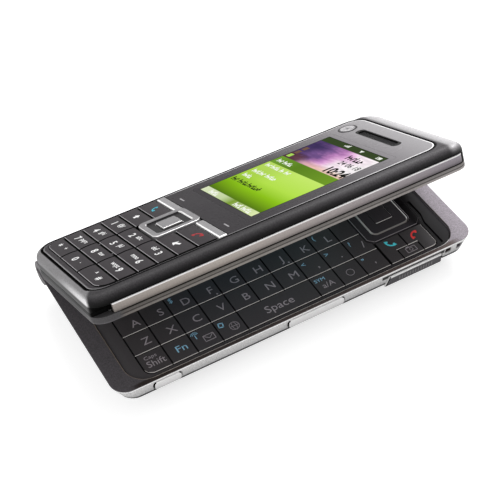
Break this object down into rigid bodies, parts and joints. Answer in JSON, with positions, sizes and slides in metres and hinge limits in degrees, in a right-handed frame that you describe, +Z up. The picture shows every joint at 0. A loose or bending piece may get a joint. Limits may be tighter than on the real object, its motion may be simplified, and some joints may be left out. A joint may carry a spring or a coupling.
{
  "type": "clamshell communicator phone",
  "caption": "Pocket phone that opens sideways: lid with outer screen and dial keys, hinged over a base with a full letter keyboard, side keys and rear battery.",
  "frame": {"origin": "centre of the base's flat rear face, the face the phone lies on", "axes": "+X along the length to the earpiece end, +Y across to the hinge, +Z up out of the keyboard"},
  "size_m": [0.113, 0.0532, 0.039],
  "materials": {
    "frame": "metallic mauve grey, silver along the near side",
    "panel": "high gloss dark grey",
    "base_keys": "semi-matte purple grey",
    "base_pad": "dark with bright edges",
    "side_keys": "satin silver",
    "flap": "dark grey",
    "rear": "fine texture",
    "battery": "wrapped cell",
    "board": "solder resist",
    "mat": "keypad mat",
    "camera_trim": "turned",
    "camera_glass": "dark lens glass",
    "steel": "fine brushed",
    "fixings": "plain steel",
    "lid_shell": "gunmetal, silver rolled ends",
    "faceplate": "high gloss smoked grey",
    "window": "clear hard-coated window",
    "display": "lit colour display",
    "inner_display": "colour display",
    "inner_cover": "satin grey",
    "strip": "champagne satin",
    "grille": "acoustic mesh",
    "bumper": "soft buffer",
    "lid_keys": "semi-gloss purple grey"
  },
  "bodies": {
    "base": {"base_frame": "frame", "keyboard_panel": "panel", "rear_housing": "rear", "main_board": "board", "key_mat": "mat", "battery": "battery", "camera_ring": "camera_trim", "camera_window": "camera_glass", "usb_socket": "fixings", "base_screws": "fixings", "hinge_pins": "fixings"},
    "lid": {"lid_shell": "lid_shell", "faceplate": "faceplate", "outer_window": "window", "outer_display": "display", "inner_cover": "inner_cover", "inner_window": "window", "inner_display": "inner_display", "side_strip": "strip", "earpiece": "grille", "front_camera": "camera_trim", "lid_board": "board", "lid_key_mat": "mat", "lid_bumpers": "bumper", "lid_screws": "fixings"},
    "key_row_1": {"key_row_1": "base_keys"},
    "key_row_2": {"key_row_2": "base_keys"},
    "key_row_3": {"key_row_3": "base_keys"},
    "key_row_4": {"key_row_4": "base_keys"},
    "key_row_5": {"key_row_5": "base_keys"},
    "space_key": {"space_key": "base_keys"},
    "base_call_key": {"base_call_key": "base_keys"},
    "base_end_key": {"base_end_key": "base_keys"},
    "base_camera_key": {"base_camera_key": "base_keys"},
    "base_nav_ring": {"base_nav_ring": "base_pad"},
    "base_select_key": {"base_select_key": "base_pad"},
    "shutter_key": {"shutter_key": "side_keys"},
    "volume_key": {"volume_key": "side_keys"},
    "lid_key_hash": {"lid_key_hash": "lid_keys"},
    "lid_key_zero": {"lid_key_zero": "lid_keys"},
    "lid_key_star": {"lid_key_star": "lid_keys"},
    "lid_key_nine": {"lid_key_nine": "lid_keys"},
    "lid_key_eight": {"lid_key_eight": "lid_keys"},
    "lid_key_seven": {"lid_key_seven": "lid_keys"},
    "lid_key_six": {"lid_key_six": "lid_keys"},
    "lid_key_five": {"lid_key_five": "lid_keys"},
    "lid_key_four": {"lid_key_four": "lid_keys"},
    "lid_key_three": {"lid_key_three": "lid_keys"},
    "lid_key_two": {"lid_key_two": "lid_keys"},
    "lid_key_one": {"lid_key_one": "lid_keys"},
    "lid_back_key": {"lid_back_key": "lid_keys"},
    "lid_home_key": {"lid_home_key": "lid_keys"},
    "lid_end_key": {"lid_end_key": "lid_keys"},
    "lid_call_key": {"lid_call_key": "lid_keys"},
    "softkey_near": {"softkey_near": "steel"},
    "softkey_far": {"softkey_far": "steel"},
    "lid_nav_ring": {"lid_nav_ring": "steel"},
    "lid_select_key": {"lid_select_key": "steel"},
    "card_flap": {"card_flap": "flap"},
    "battery_door": {"battery_door": "rear"}
  },
  "joints": [
    {"name": "lid_hinge", "type": "hinge", "parent": "base", "child": "lid", "pos_m": [0, 0.0229, 0.01015], "axis": [-1, 0, 0], "range_deg": [-26.5, 123.5]},
    {"name": "card_flap_hinge", "type": "hinge", "parent": "base", "child": "card_flap", "pos_m": [0.0356, -0.026, 0.0058], "axis": [1, 0, 0], "range_deg": [0, 90]},
    {"name": "battery_door_slide", "type": "slide", "parent": "base", "child": "battery_door", "axis": [-1, 0, 0], "range_m": [0, 0.006]},
    {"name": "key_row_1_press", "type": "slide", "parent": "base", "child": "key_row_1", "axis": [0, 0, -1], "range_m": [0, 0.0003], "stiffness_N_per_m": 800},
    {"name": "key_row_2_press", "type": "slide", "parent": "base", "child": "key_row_2", "axis": [0, 0, -1], "range_m": [0, 0.0003], "stiffness_N_per_m": 800},
    {"name": "key_row_3_press", "type": "slide", "parent": "base", "child": "key_row_3", "axis": [0, 0, -1], "range_m": [0, 0.0003], "stiffness_N_per_m": 800},
    {"name": "key_row_4_press", "type": "slide", "parent": "base", "child": "key_row_4", "axis": [0, 0, -1], "range_m": [0, 0.0003], "stiffness_N_per_m": 800},
    {"name": "key_row_5_press", "type": "slide", "parent": "base", "child": "key_row_5", "axis": [0, 0, -1], "range_m": [0, 0.0003], "stiffness_N_per_m": 800},
    {"name": "space_key_press", "type": "slide", "parent": "base", "child": "space_key", "axis": [0, 0, -1], "range_m": [0, 0.0003], "stiffness_N_per_m": 800},
    {"name": "base_call_key_press", "type": "slide", "parent": "base", "child": "base_call_key", "axis": [0, 0, -1], "range_m": [0, 0.0003], "stiffness_N_per_m": 800},
    {"name": "base_end_key_press", "type": "slide", "parent": "base", "child": "base_end_key", "axis": [0, 0, -1], "range_m": [0, 0.0003], "stiffness_N_per_m": 800},
    {"name": "base_camera_key_press", "type": "slide", "parent": "base", "child": "base_camera_key", "axis": [0, 0, -1], "range_m": [0, 0.0003], "stiffness_N_per_m": 800},
    {"name": "base_nav_ring_press", "type": "slide", "parent": "base", "child": "base_nav_ring", "axis": [0, 0, -1], "range_m": [0, 0.0003], "stiffness_N_per_m": 800},
    {"name": "base_select_key_press", "type": "slide", "parent": "base", "child": "base_select_key", "axis": [0, 0, -1], "range_m": [0, 0.0003], "stiffness_N_per_m": 800},
    {"name": "shutter_key_press", "type": "slide", "parent": "base", "child": "shutter_key", "axis": [0, 1, 0], "range_m": [0, 0.0002], "stiffness_N_per_m": 800},
    {"name": "volume_key_press", "type": "slide", "parent": "base", "child": "volume_key", "axis": [0, 1, 0], "range_m": [0, 0.0002], "stiffness_N_per_m": 800},
    {"name": "lid_key_hash_press", "type": "slide", "parent": "lid", "child": "lid_key_hash", "axis": [0, -0.4462, -0.8949], "range_m": [0, 0.0003], "stiffness_N_per_m": 800},
    {"name": "lid_key_zero_press", "type": "slide", "parent": "lid", "child": "lid_key_zero", "axis": [0, -0.4462, -0.8949], "range_m": [0, 0.0003], "stiffness_N_per_m": 800},
    {"name": "lid_key_star_press", "type": "slide", "parent": "lid", "child": "lid_key_star", "axis": [0, -0.4462, -0.8949], "range_m": [0, 0.0003], "stiffness_N_per_m": 800},
    {"name": "lid_key_nine_press", "type": "slide", "parent": "lid", "child": "lid_key_nine", "axis": [0, -0.4462, -0.8949], "range_m": [0, 0.0003], "stiffness_N_per_m": 800},
    {"name": "lid_key_eight_press", "type": "slide", "parent": "lid", "child": "lid_key_eight", "axis": [0, -0.4462, -0.8949], "range_m": [0, 0.0003], "stiffness_N_per_m": 800},
    {"name": "lid_key_seven_press", "type": "slide", "parent": "lid", "child": "lid_key_seven", "axis": [0, -0.4462, -0.8949], "range_m": [0, 0.0003], "stiffness_N_per_m": 800},
    {"name": "lid_key_six_press", "type": "slide", "parent": "lid", "child": "lid_key_six", "axis": [0, -0.4462, -0.8949], "range_m": [0, 0.0003], "stiffness_N_per_m": 800},
    {"name": "lid_key_five_press", "type": "slide", "parent": "lid", "child": "lid_key_five", "axis": [0, -0.4462, -0.8949], "range_m": [0, 0.0003], "stiffness_N_per_m": 800},
    {"name": "lid_key_four_press", "type": "slide", "parent": "lid", "child": "lid_key_four", "axis": [0, -0.4462, -0.8949], "range_m": [0, 0.0003], "stiffness_N_per_m": 800},
    {"name": "lid_key_three_press", "type": "slide", "parent": "lid", "child": "lid_key_three", "axis": [0, -0.4462, -0.8949], "range_m": [0, 0.0003], "stiffness_N_per_m": 800},
    {"name": "lid_key_two_press", "type": "slide", "parent": "lid", "child": "lid_key_two", "axis": [0, -0.4462, -0.8949], "range_m": [0, 0.0003], "stiffness_N_per_m": 800},
    {"name": "lid_key_one_press", "type": "slide", "parent": "lid", "child": "lid_key_one", "axis": [0, -0.4462, -0.8949], "range_m": [0, 0.0003], "stiffness_N_per_m": 800},
    {"name": "lid_back_key_press", "type": "slide", "parent": "lid", "child": "lid_back_key", "axis": [0, -0.4462, -0.8949], "range_m": [0, 0.0003], "stiffness_N_per_m": 800},
    {"name": "lid_home_key_press", "type": "slide", "parent": "lid", "child": "lid_home_key", "axis": [0, -0.4462, -0.8949], "range_m": [0, 0.0003], "stiffness_N_per_m": 800},
    {"name": "lid_end_key_press", "type": "slide", "parent": "lid", "child": "lid_end_key", "axis": [0, -0.4462, -0.8949], "range_m": [0, 0.0003], "stiffness_N_per_m": 800},
    {"name": "lid_call_key_press", "type": "slide", "parent": "lid", "child": "lid_call_key", "axis": [0, -0.4462, -0.8949], "range_m": [0, 0.0003], "stiffness_N_per_m": 800},
    {"name": "softkey_near_press", "type": "slide", "parent": "lid", "child": "softkey_near", "axis": [0, -0.4462, -0.8949], "range_m": [0, 0.0003], "stiffness_N_per_m": 800},
    {"name": "softkey_far_press", "type": "slide", "parent": "lid", "child": "softkey_far", "axis": [0, -0.4462, -0.8949], "range_m": [0, 0.0003], "stiffness_N_per_m": 800},
    {"name": "lid_nav_ring_press", "type": "slide", "parent": "lid", "child": "lid_nav_ring", "axis": [0, -0.4462, -0.8949], "range_m": [0, 0.0003], "stiffness_N_per_m": 800},
    {"name": "lid_select_key_press", "type": "slide", "parent": "lid", "child": "lid_select_key", "axis": [0, -0.4462, -0.8949], "range_m": [0, 0.0003], "stiffness_N_per_m": 800}
  ]
}
